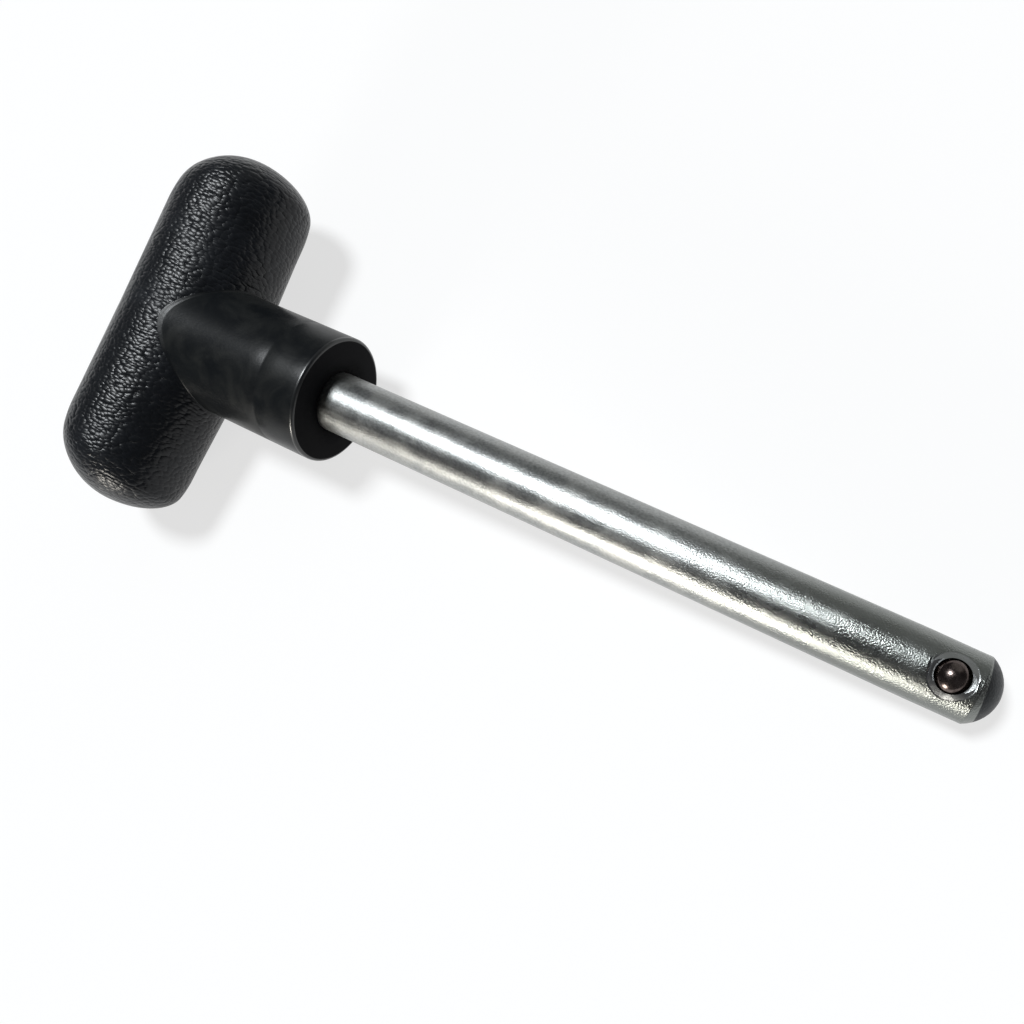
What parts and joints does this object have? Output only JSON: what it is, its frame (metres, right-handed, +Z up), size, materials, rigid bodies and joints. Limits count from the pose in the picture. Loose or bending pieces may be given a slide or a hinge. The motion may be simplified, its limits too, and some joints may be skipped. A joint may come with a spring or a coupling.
{
  "type": "weight stack pin",
  "caption": "Selector pin for a weight stack: a round steel rod with a crowned tip and a spring ball, moulded into a grained black T handle.",
  "frame": {"origin": "under the middle of the pin's box, on the surface that it lies on", "axes": "+X towards the rod's tip along the surface, +Y along the grip, +Z up; the rod slopes down to its tip by 3 degrees and the pin is rolled by 3 degrees, as it comes to rest"},
  "size_m": [0.1486, 0.0616, 0.0239],
  "materials": {
    "handle": "black moulded plastic, leather grain on the grip, smooth satin neck",
    "rod": "zinc-plated steel, mottled satin",
    "ball": "polished hardened steel",
    "spring": "drawn spring wire"
  },
  "bodies": {
    "pin": {"handle": "handle", "pin_rod": "rod", "detent_spring": "spring"},
    "ball": {"detent_ball": "ball"}
  },
  "joints": [
    {"name": "ball_press", "type": "slide", "parent": "pin", "child": "ball", "axis": [-0.0541, 0.0501, -0.9973], "range_m": [0, 0.00075], "stiffness_N_per_m": 800, "springref_m": -0.0015, "deforming": ["detent_spring"]}
  ]
}
